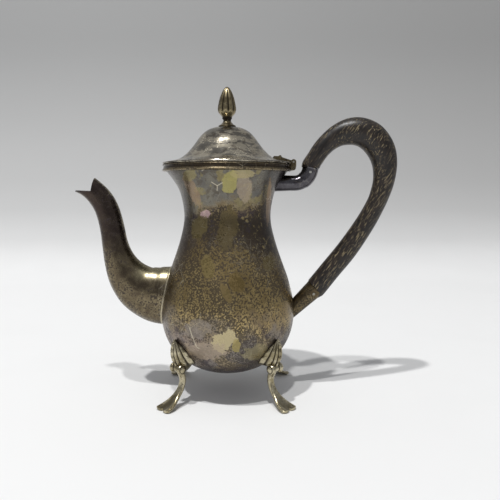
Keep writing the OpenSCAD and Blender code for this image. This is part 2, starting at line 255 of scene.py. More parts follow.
# %% Finial
LOBES, LOBE_COLUMNS, LOBE_DEPTH = 9, 24, 0.17
bud = np.vstack([[(0, 205.2), (6.0, 205.2)], arc(6.0, 205.8, 0.6, -90, 90, 7), curve(
    [(5.4, 206.7), (4.4, 207.5), (3.2, 208.9), (2.9, 210.2), (3.3, 210.9), (3.8, 211.5), (3.5, 212.3),
     (4.5, 213.6), (6.2, 215.5), (7.0, 217.6), (6.95, 219.8), (6.4, 222.8), (5.45, 226.6), (4.25, 229.8),
     (2.9, 232.4), (1.5, 234.2), (0, 235)], 7)])
columns = LOBES * LOBE_COLUMNS
turned = lathe(bud, columns)
a = np.linspace(0, 2 * np.pi, columns, endpoint=False)
valley = 1 - np.abs(np.sin(a * LOBES / 2)) ** 0.55
rise = np.interp(bud[:, 1], [214, 217.5, 228, 234.6], [0, 1, 1, 0.2])
depth = 1 - LOBE_DEPTH * np.outer(rise, valley)
turned[..., 0] = AXIS_X + (turned[..., 0] - AXIS_X) * depth
turned[..., 1] *= depth
waist = np.interp(bud[:, 1], [205.6, 208, 210, 212, 214], [0.6, 0.1, 0.8, 0.9, 0])
bud_hollow = np.clip(1.2 * np.outer(rise, valley) + waist[:, None], 0, 1)
finial = piece("finial_bud", [turned], "lid", ["finial"], sharp=60, hollow=[bud_hollow])

# %% [markdown]
# ## Swept pieces
# Spout, sockets and grip all follow a bent line in the pot's upright plane. Each is an oval carried along that
# line. Where such a piece is soldered to the body, points that would fall inside the body are moved out to its
# surface, so the foot of the piece fits the curve as a filed joint does.

# %% Sweep along a line in the upright plane
def line_frame(line):
    """Unit direction and left-hand normal at each point of a line of (x, z)."""
    t = np.gradient(line, axis=0)
    t /= np.linalg.norm(t, axis=1)[:, None]
    return t, np.stack([-t[:, 1], t[:, 0]], 1)


def hug(grid, sink=0.25):
    """Points inside the body move straight out from its axis to its surface, less a small sink."""
    x, y = grid[..., 0] - AXIS_X, grid[..., 1]
    rho = np.hypot(x, y)
    skin = body_radius(grid[..., 2]) - sink
    scale = np.where(rho < skin, skin / np.maximum(rho, 1e-6), 1.0)
    return np.stack([AXIS_X + x * scale, y * scale, grid[..., 2]], -1)


# %% [markdown]
# ## The spout
# The swan-neck spout is stamped in two halves and soldered. It tapers from a tall oval to a narrow throat and
# ends in a beak: its top is sawn away so that the lower lip runs forward to a point and cuts the drip. Each line
# along the spout therefore stops where it meets the saw cut, and the outer and inner walls meet there.

# %% Spout
spout = curve([(-40, 76.5, 22.6, 15.8), (-53, 77, 22, 15.2), (-62, 79.6, 20.3, 14), (-70, 84.2, 18.2, 12.8),
               (-77.9, 93, 15.1, 11.2), (-83.3, 104, 11.8, 9.8), (-86.5, 116, 9.8, 8.8), (-88.5, 129, 9.2, 8.2),
               (-91.5, 141.5, 9, 7.8), (-96.2, 151, 8.8, 7.4), (-103.4, 158.8, 8.2, 7), (-111.6, 164.3, 8.4, 6.8),
               (-121, 168, 8.6, 6.6)], 40)
SAW_X, SAW_Z, PEAK_X, PEAK_Z, TIP_X = -102.6, 157.2, -101.0, 167.0, -117.2
SPOUT_COLUMNS, EASE = 128, 43
around = np.linspace(0, 2 * np.pi, SPOUT_COLUMNS, endpoint=False)
ease = np.hanning(EASE) / np.hanning(EASE).sum()
padded = (np.pad(c, EASE // 2, "reflect", reflect_type="odd") for c in spout.T)
spout = np.stack([np.convolve(c, ease, "valid") for c in padded], 1)  # a running mean takes out small kinks
s_all = np.linspace(0, 1, len(spout))
RIDGE, RIDGE_ANGLE = 0.035, 0.22  # height as a share of the radius, and half width in radians


def spout_points(s, thick):
    """Point at share s of the line for each column: centre + normal (depth - thick) cos a, width sin a. The
    outer curve, where cos a is 1, is drawn out slightly into the ridge that the two halves meet in."""
    x, z, d, w = (np.interp(s, s_all, spout[:, k]) for k in range(4))
    t, n = line_frame(spout[:, :2])
    nx, nz = np.interp(s, s_all, n[:, 0]), np.interp(s, s_all, n[:, 1])
    ridge = 1 + RIDGE * np.exp(-((np.angle(np.exp(1j * around)) / RIDGE_ANGLE) ** 2))
    out = (d - thick) * np.cos(around) * ridge
    return np.stack([AXIS_X + x + nx * out, (w - thick) * np.sin(around), z + nz * out], -1)


FINE = 3000


def reach(thick):
    """For each column, the shares of the line where it leaves the body and where it meets the saw cut."""
    grid = spout_points(np.linspace(0, 1, FINE)[:, None] + 0 * around, thick)
    x, z = grid[..., 0] - AXIS_X, grid[..., 2]
    saw_line = SAW_X + (z - SAW_Z) * (PEAK_X - SAW_X) / (PEAK_Z - SAW_Z)
    gone = ((z > SAW_Z) & (x < saw_line)) | (x < TIP_X)
    free = np.hypot(x, grid[..., 1]) > body_radius(z)
    return np.argmax(free, axis=0) / (FINE - 1), np.argmax(gone, axis=0) / (FINE - 1)


SPOUT_LENGTH = float(np.linalg.norm(np.diff(spout[:, :2], axis=0), axis=1).sum())
SPOUT_WALL, SOLDER, SOLDER_FADE = 1.0, 0.7, 0.45
rows_mm = np.concatenate([[-0.4, 0, 0.15, 0.35, 0.6, 0.9, 1.3, 1.9], np.linspace(2.8, SPOUT_LENGTH, 88)])
_, last = reach(0.4 * SPOUT_WALL)


def spout_wall(thick, solder):
    """Rows that start at the body's surface and are close together there. The solder that fills the corner
    widens each row by solder exp(-(length from the joint) / SOLDER_FADE)."""
    first = reach(thick)[0]
    share = first + (last - first) * rows_mm[:, None] / SPOUT_LENGTH
    swell = solder * np.exp(-np.maximum(rows_mm, 0) / SOLDER_FADE)[:, None]
    return spout_points(share, thick - swell)


outer, inner = spout_wall(0.0, SOLDER), spout_wall(SPOUT_WALL, 0.0)
edge = (outer[-1:] + inner[-1:]) / 2
join = np.clip(1 - np.abs(rows_mm - 0.45) / 0.75, 0, 1)[:, None] + 0 * around
blank = 0 * around[None, :]
spout_piece = piece("spout", [np.vstack([outer, edge, inner[::-1], outer[:1]])], "pot",
                    ["spout_near_half", "spout_far_half"],
                    hollow=[np.vstack([-join, blank, 0 * join, -join[:1]])])

# %% [markdown]
# ## The handle
# Wood keeps the hand cool. A dark, open-grained loop was sawn from one board, rounded, and tenoned into two
# silver sockets; a rivet crosses each joint. Because it is sawn and not bent, the grain runs straight through
# the loop in one direction, along the lower arm, and crosses it at the top of the bend.

# %% Grip
ARM_ANGLE, LOW_ANGLE = math.radians(78), math.radians(44)
ARM_X, ARM_Z, ARM_BEND, ARM_R, ARM_STRAIGHT = 51.0, 163.2, 12.0, 6.2, 2.6
arm_end = np.array([ARM_X + ARM_BEND * math.sin(ARM_ANGLE) + ARM_STRAIGHT * math.cos(ARM_ANGLE),
                    ARM_Z + ARM_BEND * (1 - math.cos(ARM_ANGLE)) + ARM_STRAIGHT * math.sin(ARM_ANGLE)])
low_end = np.array([67.9, 82.6])
arm_way = np.array([math.cos(ARM_ANGLE), math.sin(ARM_ANGLE)])
low_way = np.array([math.cos(LOW_ANGLE), math.sin(LOW_ANGLE)])
grip_line = curve(np.vstack([
    [(*arm_end, 6.9), (*(arm_end + 2 * arm_way), 6.8)],
    [(66.8, 182.2, 6.6), (71.4, 188.8, 6.9), (76.8, 194.3, 7.4), (83.3, 198.8, 8.4), (90.4, 201.4, 9.7),
     (97, 202.1, 10.5), (103.2, 200.8, 10.9), (108.9, 197.6, 11.2), (113.6, 192.6, 11.0), (117.2, 186.3, 10.5),
     (119.2, 179, 9.6), (119.6, 172, 8.8), (118.9, 164.5, 8.1), (117, 157, 7.6), (113.4, 147.5, 7.2),
     (105.5, 132.7, 7.5), (92.3, 112.8, 8.0), (79.5, 96.8, 8.0)],
    [(*(low_end + 2 * low_way), 8.1), (*low_end, 8.1)]]), 10)


CAP_SHARE, CAP_MM = 0.93, 0.35  # an end oval's share of the full one, and how far back the full one starts


def swept(line, depth, width, columns):
    """A closed tube of ovals: point = line + normal depth cos a, and width sin a across the plane. The first and
    last points are repeated with small and zero ovals, which close and round the ends."""
    rows = [0, 0, 0, *range(1, len(line) - 1), -1, -1, -1]
    shrink = np.array([0, CAP_SHARE, 1, *[1] * (len(line) - 2), 1, CAP_SHARE, 0])
    way, n = line_frame(line)
    line, n = line[rows], n[rows]
    line[2] += CAP_MM * way[0]
    line[-3] -= CAP_MM * way[-1]
    a = np.linspace(0, 2 * np.pi, columns, endpoint=False)
    out = np.outer(depth[rows] * shrink, np.cos(a))
    return np.stack([AXIS_X + line[:, :1] + n[:, :1] * out, np.outer(width[rows] * shrink, np.sin(a)),
                     line[:, 1:] + n[:, 1:] * out], -1)


GRIP_FLATNESS, GRIP_LEAST = 0.84, 6.6  # half width as a share of half depth, and its least value in mm
grip_depth = grip_line[:, 2]
grip_width = np.maximum(grip_depth * GRIP_FLATNESS, GRIP_LEAST)
grip = piece("grip", [swept(grip_line[:, :2], grip_depth, grip_width, 96)], "pot",
             ["handle_grip"])

# %% [markdown]
# ## The sockets
# The upper socket is an arm that leaves the neck level and turns up to the wood. The lower one is a plain tube
# that widens from the belly. Both have a thin rolled mouth, and the upper has the small step where its root was
# let into the tube.

# %% Sockets
turn = np.linspace(0, ARM_ANGLE, 40)
arm_line = np.vstack([
    np.stack([np.linspace(33, ARM_X, 36, endpoint=False), np.full(36, ARM_Z)], 1),
    np.stack([ARM_X + ARM_BEND * np.sin(turn), ARM_Z + ARM_BEND * (1 - np.cos(turn))], 1),
    arm_end - arm_way * np.linspace(ARM_STRAIGHT * 0.8, 0, 8)[:, None]])
arm_along = np.concatenate([[0], np.cumsum(np.linalg.norm(np.diff(arm_line, axis=0), axis=1))])
arm_left = arm_along[-1] - arm_along
arm_r = np.interp(arm_left, [0, 0.5, 1.0, 12.2, 12.5, 22, 40], [6.35, 6.35, 6.15, 6.15, 5.85, 5.85, 6.6])
arm_grid = hug(swept(arm_line, arm_r, arm_r, 72))
arm = piece("upper_arm", [arm_grid], "pot", ["upper_socket"])
low_left = np.linspace(33, 0, 60)
low_line = low_end - low_left[:, None] * low_way
low_r = np.interp(low_left, [0, 0.5, 1.0, 33], [7.5, 7.5, 7.3, 5.1])
low_grid = hug(swept(low_line, low_r, low_r, 72))
low = piece("lower_arm", [low_grid], "pot", ["lower_socket"])

# %% [markdown]
# ## The feet
# Each foot is one casting: an acanthus leaf spread on the belly, a rolled scroll for a knee, a thin leg, and a
# spatula toe with a raised border and two lobes. The four are the same, turned about the axis. They are worked
# out in a plane through the axis, as distance from the axis, distance across, and height.

# %% One foot in its own plane
KNEE_R, KNEE_Z, FOOT_ANGLE = 48.4, 28.8, math.radians(43)


def pole(grid, row):
    """A row of equal points at the middle of one row, which closes that end."""
    return np.repeat(grid[row].mean(0)[None, None], grid.shape[1], axis=1)


def leaf_sheet(rows=90, cols=121):
    """Across u from -1 to 1, along v from the tip. Three ribs on each side are rounded ridges |cos| of |u| that
    run into the tip, five beads stand on the middle, and between them the sheet sinks to the body's skin plus
    0.8 mm. The distance from the axis falls from the middle to the sides as |u|^2.2. The back lies just under
    the skin. Recesses are where the relief is low."""
    u = np.linspace(-1, 1, cols)[None, :]
    v = np.linspace(0, 1, rows)[:, None]
    ridge = curve([(50.3, 51.2), (51.5, 48.2), (52.3, 44.2), (52.4, 39.8), (51.6, 35.6), (50.0, 32.0),
                   (48.4, 29.0)], 12)
    at = np.linspace(0, 1, len(ridge))
    rr, zz = np.interp(v, at, ridge[:, 0]), np.interp(v, at, ridge[:, 1])
    half = np.interp(v, [0, 0.05, 0.18, 0.38, 0.6, 0.8, 0.93, 1], [0.3, 2.4, 4.6, 6.6, 7.9, 7.9, 6.2, 3.4])
    scallop = 1 + 0.05 * np.abs(np.sin(np.pi * 4 * v)) * np.abs(u) ** 3
    across = half * u * scallop
    zz = zz - 3.0 * (1 - v) * u**2 + 1.6 * v * u**2
    skin = np.sqrt(np.maximum(body_radius(zz) ** 2 - across**2, 0))
    beads = np.exp(-((u / 0.15) ** 2)) * (0.45 + 0.85 * np.abs(np.sin(np.pi * 5 * v**0.85)))
    ribs = np.abs(np.cos(np.pi * (np.abs(u) - 0.36) / 0.29)) ** 0.8 * (np.abs(u) > 0.2)
    relief = np.maximum(beads, ribs * 0.8) * np.sin(np.pi * np.clip(0.04 + v * 0.95, 0, 1)) ** 0.4
    crown = 1 - np.abs(u) ** 2.2
    front = skin + 0.6 + (rr - skin - 0.6) * crown + 1.5 * relief
    top = np.stack([front, across + 0 * v, zz], -1)
    under = np.stack([skin - 0.4, across + 0 * v, zz], -1)
    ring = np.concatenate([top, under[:, ::-1]], axis=1)
    recess = np.concatenate([np.clip(1.15 - 1.6 * relief, 0, 1), np.ones_like(relief)], axis=1)
    return (np.concatenate([pole(ring, 0), ring, pole(ring, -1)]),
            np.concatenate([recess[:1], recess, recess[-1:]]))


def scroll_sheet(cols=48):
    """A turning about a level line across the foot: two balls, a narrow waist and a sunk ring near each end."""
    half = curve([(0, 2.6), (1.4, 2.6), (2.2, 2.4), (2.7, 2.9), (3.6, 3.7), (4.8, 3.75), (5.8, 3.1), (6.3, 2.2),
                  (6.6, 1.8), (6.9, 1.0), (6.95, 0)], 6)
    t = np.concatenate([-half[::-1, 0], half[1:, 0]])
    r = np.concatenate([half[::-1, 1], half[1:, 1]])
    a = np.linspace(0, 2 * np.pi, cols, endpoint=False)
    recess = np.exp(-(((np.abs(t) - 2.2) / 0.5) ** 2)) + np.exp(-(((np.abs(t) - 6.1) / 0.25) ** 2))
    x, z = KNEE_R + np.outer(r, np.cos(a)), KNEE_Z + np.outer(r, np.sin(a))
    return np.stack([x, np.outer(t, np.ones(cols)), z], -1), np.outer(recess * 0.8, np.ones(cols))


def leg_sheet(cols=80):
    """A rounded oval along the leg's line, |cos|^0.8 by |sin|^0.8. Toward the toe it widens and its top sinks
    between raised borders. The end runs out in two half-round lobes: extra length = 3 sqrt(1 - (2|u| - 1)^2)."""
    path = curve([(47.4, 29.5, 2.7, 3.0), (45.9, 25.4, 2.5, 2.7), (44.5, 21.6, 2.3, 2.4), (44.4, 17.6, 2.2, 2.4),
                  (46.4, 12.6, 2.1, 2.7), (50.0, 8.4, 1.9, 3.6), (53.8, 5.2, 1.7, 5.2), (57.4, 3.0, 1.6, 6.8),
                  (60.6, 1.7, 1.6, 7.5)], 10)
    t, n = line_frame(path[:, :2])
    v = np.linspace(0, 1, len(path))[:, None]
    a = np.linspace(0, 2 * np.pi, cols, endpoint=False)[None, :]
    u = np.sign(np.cos(a)) * np.abs(np.cos(a)) ** 0.8
    up = np.sign(np.sin(a)) * np.abs(np.sin(a)) ** 0.8
    flat = np.clip((v - 0.4) / 0.3, 0, 1)
    sunk = flat * (1 - np.clip(np.abs(u) / 0.72, 0, 1) ** 4) * (up > 0)
    thick = path[:, 2:3] * up * (1 - 0.5 * sunk)
    lobes = np.sqrt(np.maximum(1 - (2 * np.abs(u) - 1) ** 2, 0)) * np.clip((v - 0.75) / 0.25, 0, 1) ** 2 * 3.0
    r = path[:, :1] + n[:, :1] * thick + lobes * t[:, :1]
    z = path[:, 1:2] + n[:, 1:2] * thick + lobes * t[:, 1:2] * 0.3
    grid = np.stack([r, path[:, 3:4] * u, np.maximum(z, 0)], -1)
    flipped = grid[-1:, (-np.arange(cols)) % cols]
    nose = (grid[-1:] + flipped) / 2
    nose[..., 0] += 0.5
    recess = np.clip(0.5 * sunk + 0.5 * np.exp(-(((v - 0.12) / 0.1) ** 2)) * (u < 0), 0, 1)
    return np.concatenate([pole(grid, 0), grid, nose]), np.concatenate([recess[:1], recess, recess[-1:]])


foot_sheets = [leaf_sheet(), scroll_sheet(), leg_sheet()]


def turned_about_axis(grid, angle):
    """Distance from the axis, distance across and height, turned to the foot's place round the pot."""
    c, s = math.cos(angle), math.sin(angle)
    out, across, z = grid[..., 0], grid[..., 1], grid[..., 2]
    return np.stack([AXIS_X + out * c - across * s, out * s + across * c, z], -1)


# %% The four feet, each at its CAD node's place
feet = []
for node in ("foot_front_left", "foot_front_right", "foot_rear_left", "foot_rear_right"):
    lo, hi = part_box(node)
    towards = math.atan2(math.copysign(math.sin(FOOT_ANGLE), lo.y + hi.y),
                         math.copysign(math.cos(FOOT_ANGLE), lo.x + hi.x - 2 * AXIS_X * MM))
    feet.append(piece(node + "_cast", [turned_about_axis(g, towards) for g, _ in foot_sheets], "pot",
                      [node], sharp=50, hollow=[h for _, h in foot_sheets]))

# %% [markdown]
# ## Writing a finish as sums
# A finish is arithmetic on patterns. The small class below wraps one output socket, so that masks can be added,
# multiplied and subtracted with ordinary signs, and each sign adds its Math node.

# %% A socket that does arithmetic
class Sock:
    """One output socket. a + b, a - b, a * b, a / b and a ** b add a Math node. A number may stand on the left of
    the first three and on the right of all."""

    def __init__(self, tree, socket):
        self.tree, self.socket = tree, socket

    def node(self, kind, settings=None, out=0, **inputs):
        """Any other node: settings are set first, then sockets by name, or by number as _0, _1. A ramp takes
        stops = [(place, colour), ...]."""
        made = self.tree.nodes.new(kind)
        for key, value in (settings or {}).items():
            if key == "stops":
                ramp = made.color_ramp
                while len(ramp.elements) < len(value):
                    ramp.elements.new(0.5)
                for element, (place, colour) in zip(ramp.elements, value):
                    element.position, element.color = place, (*colour, 1)
            else:
                setattr(made, key, value)
        for key, value in inputs.items():
            socket = made.inputs[int(key[1:])] if key[0] == "_" else made.inputs[key.replace("__", " ")]
            if isinstance(value, Sock):
                self.tree.links.new(value.socket, socket)
            else:
                socket.default_value = value
        return Sock(self.tree, made.outputs[out])

    def math(self, operation, *values):
        """A Math node on these values."""
        inputs = {f"_{i}": v for i, v in enumerate(values)}
        return self.node("ShaderNodeMath", {"operation": operation}, **inputs)

    def __add__(self, o): return self.math("ADD", self, o)
    def __radd__(self, o): return self.math("ADD", o, self)
    def __sub__(self, o): return self.math("SUBTRACT", self, o)
    def __rsub__(self, o): return self.math("SUBTRACT", o, self)
    def __mul__(self, o): return self.math("MULTIPLY", self, o)
    def __rmul__(self, o): return self.math("MULTIPLY", o, self)
    def __truediv__(self, o): return self.math("DIVIDE", self, o)
    def __pow__(self, o): return self.math("POWER", self, o)

    def abs(self):
        return self.math("ABSOLUTE", self)

    def least(self, o):
        return self.math("MINIMUM", self, o)

    def most(self, o):
        return self.math("MAXIMUM", self, o)

    def clamp(self):
        """Held between 0 and 1."""
        return self.most(0.0).least(1.0)

    def step(self, low, high):
        """0 below low, 1 above high, smooth between; low may be the greater to turn it round."""
        if low > high:
            return 1 - self.step(high, low)
        return self.node("ShaderNodeMapRange", {"interpolation_type": "SMOOTHSTEP"}, _0=self, _1=low, _2=high)

    def noise(self, scale, detail=3.0, rough=0.55, twist=0.0):
        """Noise read at this position: scale is how many features fit in a metre."""
        return self.node("ShaderNodeTexNoise", {}, Vector=self, Scale=scale, Detail=detail, Roughness=rough,
                         Distortion=twist)

    def mix(self, a, b):
        """Colour a where this mask is 0, b where it is 1."""
        a, b = (c if isinstance(c, Sock) else (*c, 1) for c in (a, b))
        return self.node("ShaderNodeMix", {"data_type": "RGBA"}, out=2, _0=self, _6=a, _7=b)


def new_material(name):
    """A material with a Principled shader: returns it, its shader node and the Object position as a Sock."""
    mat = bpy.data.materials.new(name)
    mat.use_nodes = True
    tree = mat.node_tree
    shader = tree.nodes["Principled BSDF"]
    where = tree.nodes.new("ShaderNodeTexCoord")
    return mat, shader, Sock(tree, where.outputs["Object"])


def connect(shader, **values):
    """Feed the shader's sockets by name."""
    for key, value in values.items():
        socket = shader.inputs[key.replace("__", " ")]
        if isinstance(value, Sock):
            value.tree.links.new(value.socket, socket)
        else:
            socket.default_value = value


def give(thing, mat):
    """The piece or CAD node wears this material on all its faces."""
    thing.data.materials.clear()
    thing.data.materials.append(mat)
    print(thing.name, "wears", mat.name, "of", len(mat.node_tree.nodes), "nodes")


def srgb(r, g, b):
    """A colour read as 0 to 255 screen values, made linear."""
    return tuple(((c / 255 + 0.055) / 1.055) ** 2.4 for c in (r, g, b))


def bumped(p, height, distance):
    """A normal from a height pattern; distance in metres."""
    return p.node("ShaderNodeBump", {}, Strength=1.0, Distance=distance, Height=height)


# %% [markdown]
# ## Tarnished silver
# Silver turns slowly to yellow, brown, purple and black. On this pot the belly is a warm olive ground under fine
# dark speckle, the neck is grey with a few clear patches where an old film broke away, and only edges that hands
# rub stay bright. So the finish is layered: a ground that shifts from place to place, speckle at two sizes,
# patches at set places with ragged edges, then scratches.

# %% Ground, speckle and scratches
RAGGED_EDGE, FRONT_Y = 1.35, (2, -8)
NECK_Z, DUSK_Z, LOW_Z, BAND_Z, TORN_Z = (134, 158), (112, 126), (76, 54), (31, 22), (78, 62)  # where zones fade
GRAIN_TONE, SCRATCH_TONE = (47, 40, 36), (206, 198, 176)
# patches where an old film broke away: place x, z, half sizes, lean, colour, strength
SPOTS = [
    (3.4, 163.4, 5.2, 8.0, 0.1, (166, 158, 98), 0.75), (13.2, 160.0, 5.4, 10.5, -0.05, (156, 142, 124), 0.7),
    (12.0, 169.0, 8.0, 3.2, 0.3, (172, 160, 116), 0.6), (-24.0, 158.0, 4.4, 11.5, -0.42, (150, 128, 104), 0.65),
    (-25.0, 168.5, 5.0, 4.0, 0.3, (150, 140, 96), 0.6), (-15.0, 140.8, 3.7, 2.9, 0.2, (196, 166, 166), 0.8),
    (-19.4, 131.5, 6.0, 8.5, 0.25, (106, 94, 60), 0.85), (1.4, 131.5, 6.8, 15.0, 0.12, (96, 84, 56), 0.9),
    (-12.6, 104.2, 4.7, 8.2, -0.12, (134, 118, 76), 0.85), (7.4, 94.0, 5.6, 6.6, -0.2, (126, 107, 66), 0.8),
    (0.6, 87.0, 3.2, 6.4, -0.45, (130, 112, 72), 0.8), (31.0, 105.5, 4.6, 5.4, 0.0, (104, 92, 60), 0.8),
    (-0.6, 53.6, 7.6, 8.4, 0.5, (196, 182, 142), 0.85), (-14.0, 44.6, 13.5, 6.4, 0.1, (172, 156, 136), 0.65),
    (7.6, 50.0, 3.0, 4.4, 0.0, (160, 146, 92), 0.8), (31.0, 149.0, 1.8, 16.0, 0.05, (136, 110, 80), 0.6),
    (20.0, 43.0, 9.0, 6.0, 0.0, (160, 150, 112), 0.5), (-20.0, 62.0, 9.0, 6.0, 0.3, (150, 140, 128), 0.5),
]
# deep scratches on the front, each from (x, z) to (x, z)
CUTS = [(-9.5, 163.5, -5.6, 161.0), (-5.6, 161.0, -2.0, 163.0), (-5.6, 161.0, -5.8, 157.6),
        (-15.6, 171.4, -11.6, 173.4), (-25.4, 61.5, -20.6, 48.0), (-20.6, 48.0, -18.6, 46.8)]
CUT_WIDTH, CLEAR_FROM_Z = 0.40, 110


def place(p):
    """x from the pot's axis, y and z of a position, each a number socket in millimetres."""
    xyz = [p.node("ShaderNodeSeparateXYZ", {}, out=i, Vector=p) for i in range(3)]
    return (xyz[0] / MM - AXIS_X, xyz[1] / MM, xyz[2] / MM)


def scratches(p, scale, width):
    """Thin lines where stretched cells meet, kept only in places."""
    skew = p.node("ShaderNodeMapping", {}, Vector=p, Rotation=(0.4, 0.7, 0.9), Scale=(1, 0.35, 0.6))
    cell = skew.node("ShaderNodeTexVoronoi", {"feature": "DISTANCE_TO_EDGE"}, Vector=skew, Scale=scale)
    return cell.step(width, 0.0) * p.noise(38, 2).step(0.55, 0.66)


def segment(x, z, x0, z0, x1, z1, width):
    """Mask of a line from (x0, z0) to (x1, z1): distance to the nearest point of the segment, in mm."""
    dx, dz = x1 - x0, z1 - z0
    long2 = dx * dx + dz * dz
    t = ((x - x0) * (dx / long2) + (z - z0) * (dz / long2)).clamp()
    near = ((x - x0 - t * dx) ** 2 + (z - z0 - t * dz) ** 2) ** 0.5
    return near.step(width, width * 0.3)


def patch(x, z, cx, cz, a, b, lean, ragged):
    """Mask of a leaning oval patch on the front; a and b are its half sizes in mm. ragged, a pattern about 0.5,
    moves its edge in and out."""
    px, pz = x - cx - (z - cz) * lean, z - cz
    d = ((px / a) ** 2 + (pz / b) ** 2) ** 0.5 + (ragged - 0.5) * RAGGED_EDGE
    return d.step(1.07, 0.95)


def body_silver():
    """The body's finish. Tones are mixed one over the other, each by its own mask."""
    mat, shader, p = new_material("tarnished_silver")
    x, y, z = place(p)
    front = y.step(*FRONT_Y)
    big, mid, ragged = p.noise(26, 3), p.noise(95, 4, 0.6, 0.6), p.noise(210, 5, 0.78)
    fine, worms = p.noise(760, 2, 0.6), p.noise(520, 2, 0.55, 1.6)
    grit = fine * 0.6 + worms * 0.4
    wander = (mid - 0.5) * 26 + (ragged - 0.5) * 10 + (p.noise(48, 3, 0.6) - 0.5) * 46
    neck = (z + wander - x * 0.15).step(*NECK_Z)
    dusk = (z + wander + x * 0.12).step(*DUSK_Z) * (1 - neck)
    low = (z + wander * 0.7 + x * 0.12).step(*LOW_Z)
    # grounds: olive gold, grey low down with a pinkish corner, mottled grey on the neck, dusk between
    tone = (mid * 0.5 + big * 0.5).step(0.4, 0.6).mix(srgb(144, 124, 84), srgb(184, 162, 112))
    tone = (low * (0.55 + p.noise(70, 4, 0.65).step(0.42, 0.56) * 0.45)).mix(tone, srgb(124, 117, 110))
    pinkish = (z + (mid - 0.5) * 20).step(62, 50) * x.step(-4, -22) * front
    tone = (pinkish * 0.5).mix(tone, srgb(150, 136, 132))
    tone = neck.mix(tone, big.step(0.35, 0.65).mix(srgb(92, 90, 88), srgb(126, 122, 110)))
    tone = (neck * p.noise(150, 5, 0.75, 0.5).step(0.50, 0.57) * 0.6).mix(tone, srgb(84, 76, 66))
    tone = (neck * p.noise(64, 4, 0.7, 0.3).step(0.53, 0.58) * 0.5).mix(tone, srgb(150, 138, 92))
    tone = (dusk * 0.7).mix(tone, srgb(80, 69, 58))
    # painted shade: darker toward the spout and the handle, the pot's edges from the front, for the dark room they
    # reflect; a purple-grey band low on the bowl
    painted_edge_shade = (x * x / (x * x + y * y)).step(0.40, 0.82) * (0.35 + z.step(104, 132) * 0.65) * z.step(50, 74)
    tone = (painted_edge_shade * (0.6 + ragged * 0.4)).mix(tone, srgb(54, 49, 46))
    tone = ((z + (mid - 0.5) * 8).step(*BAND_Z) * 0.7).mix(tone, srgb(86, 78, 84))
    # dark speckle in crisp grains: half the belly, less on the neck
    cover = 0.5 + (big - 0.5) * 0.35 + (mid - 0.5) * 0.25
    cover = cover + dusk * 0.1 - neck * 0.12 + low * 0.03 + z.step(80, 94) * z.step(126, 114) * 0.045
    speck = ((grit - (1 - cover)) * 22).clamp()
    depth = 1 - neck * 0.45 - low * 0.2
    tone = (speck * depth * 0.88).mix(tone, srgb(*GRAIN_TONE))
    # purple-grey blots low down and in the dusk, gold flecks on its right, wide faint shadows
    blot = p.noise(120, 4, 0.7).step(0.55, 0.6) * (z.step(74, 56) + z.step(118, 128) * z.step(150, 140))
    tone = (blot * 0.65).mix(tone, srgb(64, 56, 62))
    flecks = p.noise(300, 4, 0.75).step(0.58, 0.62) * z.step(108, 116) * (z + (mid - 0.5) * 24).step(156, 140)
    tone = (flecks * x.step(-6, 8) * 0.7).mix(tone, srgb(158, 142, 98))
    tone = (p.noise(17, 2).step(0.52, 0.62) * 0.35).mix(tone, srgb(72, 60, 52))
    # patches: ragged on the neck, smoother on the belly, torn low down
    clear = front * 0
    torn = (ragged - 0.5) * 0.8 + (mid - 0.5) * z.step(*TORN_Z) * 2.0 + 0.5
    for cx, cz, a, b, lean, colour, strength in SPOTS:
        here = patch(x, z, cx, cz, a, b, lean, ragged if cz > CLEAR_FROM_Z else torn) * front
        tone = (here * strength * (0.75 + grit * 0.4)).mix(tone, srgb(*colour))
        clear = clear.most(here)
    back_patch = p.noise(34, 3, 0.65).step(0.61, 0.63) * (1 - front)
    tone = (back_patch * 0.6).mix(tone, srgb(140, 126, 92))
    # scratches: nets of thin lines, wiped streaks, and the few deep cuts
    lines = scratches(p, 120, 0.010)
    streaks = p.node("ShaderNodeMapping", {}, Vector=p, Rotation=(0.0, 0.5, 0.0)).noise(120, 4, 0.7, 2.5)
    streaks = (streaks - 0.5).abs().step(0.012, 0.0) * p.noise(30, 2).step(0.5, 0.6)
    lines = lines + streaks * (1 - low) * 0.6
    for ends in CUTS:
        lines = lines + segment(x, z, *ends, CUT_WIDTH) * front
    lines = lines.least(1.0)
    tone = (lines * 0.75).mix(tone, srgb(*SCRATCH_TONE))
    rough = 0.27 + speck * 0.16 - clear * 0.05 + (mid - 0.5) * 0.12 + low * 0.06
    height = speck * -0.35 + fine * 0.25 + lines * 0.5 + clear * 0.3
    connect(shader, Base__Color=tone, Metallic=0.94 - speck * 0.35, Roughness=rough,
            Normal=bumped(p, height, 0.00005))
    return mat


give(body, body_silver())


